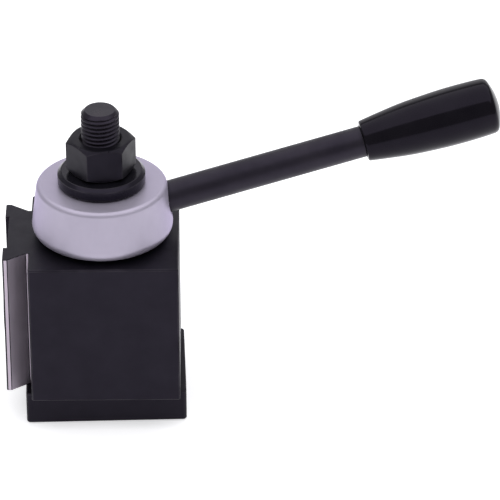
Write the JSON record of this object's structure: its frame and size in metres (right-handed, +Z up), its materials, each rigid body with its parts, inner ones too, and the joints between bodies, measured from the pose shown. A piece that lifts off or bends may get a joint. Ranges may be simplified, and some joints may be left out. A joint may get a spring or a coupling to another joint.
{
  "type": "quick change tool post",
  "caption": "Lathe tool post: square steel block with two dovetails and clamping pistons, round hub with a rising lever, clamp stud, nut and T-nut.",
  "frame": {"origin": "centre of the T-nut's underside, on the axis of the draw stud", "axes": "+Z up along the draw stud, +X towards the lever, +Y towards the back dovetail, -Y is the plain front face"},
  "size_m": [0.1958, 0.0692, 0.1283],
  "materials": {
    "black_oxide": "black oxide, satin, lightly oiled",
    "satin_chrome": "satin chrome over turned steel",
    "turned_steel": "turned, bare",
    "ground_steel": "ground, bare",
    "bronze": "machined bronze",
    "brass": "turned",
    "black_phenolic": "polished moulded phenolic"
  },
  "bodies": {
    "clamp": {"t_nut": "black_oxide", "draw_stud": "black_oxide", "clamp_washer": "black_oxide"},
    "post": {"post_body": "black_oxide", "centre_sleeve": "turned_steel", "sleeve_key_pin": "ground_steel", "thrust_washer": "black_oxide", "cam_retaining_screw": "black_oxide", "left_guide_screw": "black_oxide", "back_guide_screw": "black_oxide"},
    "lever": {"lever_hub": "satin_chrome", "cam_barrel": "turned_steel", "cam_bush": "bronze", "cam_drive_pins": "ground_steel", "lever_rod": "black_oxide", "lever_grip": "black_phenolic", "grip_insert": "brass"},
    "left_piston": {"left_piston": "black_oxide"},
    "back_piston": {"back_piston": "black_oxide"},
    "nut": {"clamp_nut": "black_oxide"}
  },
  "joints": [
    {"name": "post_swivel", "type": "hinge", "parent": "clamp", "child": "post", "pos_m": [0, 0, 0.0137], "axis": [0, 0, 1], "continuous": true},
    {"name": "lever_swing", "type": "hinge", "parent": "post", "child": "lever", "pos_m": [0, 0, 0.0737], "axis": [0, 0, 1], "range_deg": [-45, 45]},
    {"name": "left_piston_slide", "type": "slide", "parent": "post", "child": "left_piston", "axis": [-1, 0, 0], "range_m": [-0.00086, 0.00086]},
    {"name": "back_piston_slide", "type": "slide", "parent": "post", "child": "back_piston", "axis": [0, 1, 0], "range_m": [-0.00086, 0.00086]},
    {"name": "nut_turn", "type": "hinge", "parent": "clamp", "child": "nut", "pos_m": [0, 0, 0.109], "axis": [0, 0, 1], "continuous": true}
  ],
  "couplings": [
    {"joint": "left_piston_slide", "follows": "lever_swing", "m_per_rad": -0.00108},
    {"joint": "back_piston_slide", "follows": "lever_swing", "m_per_rad": -0.00108}
  ]
}
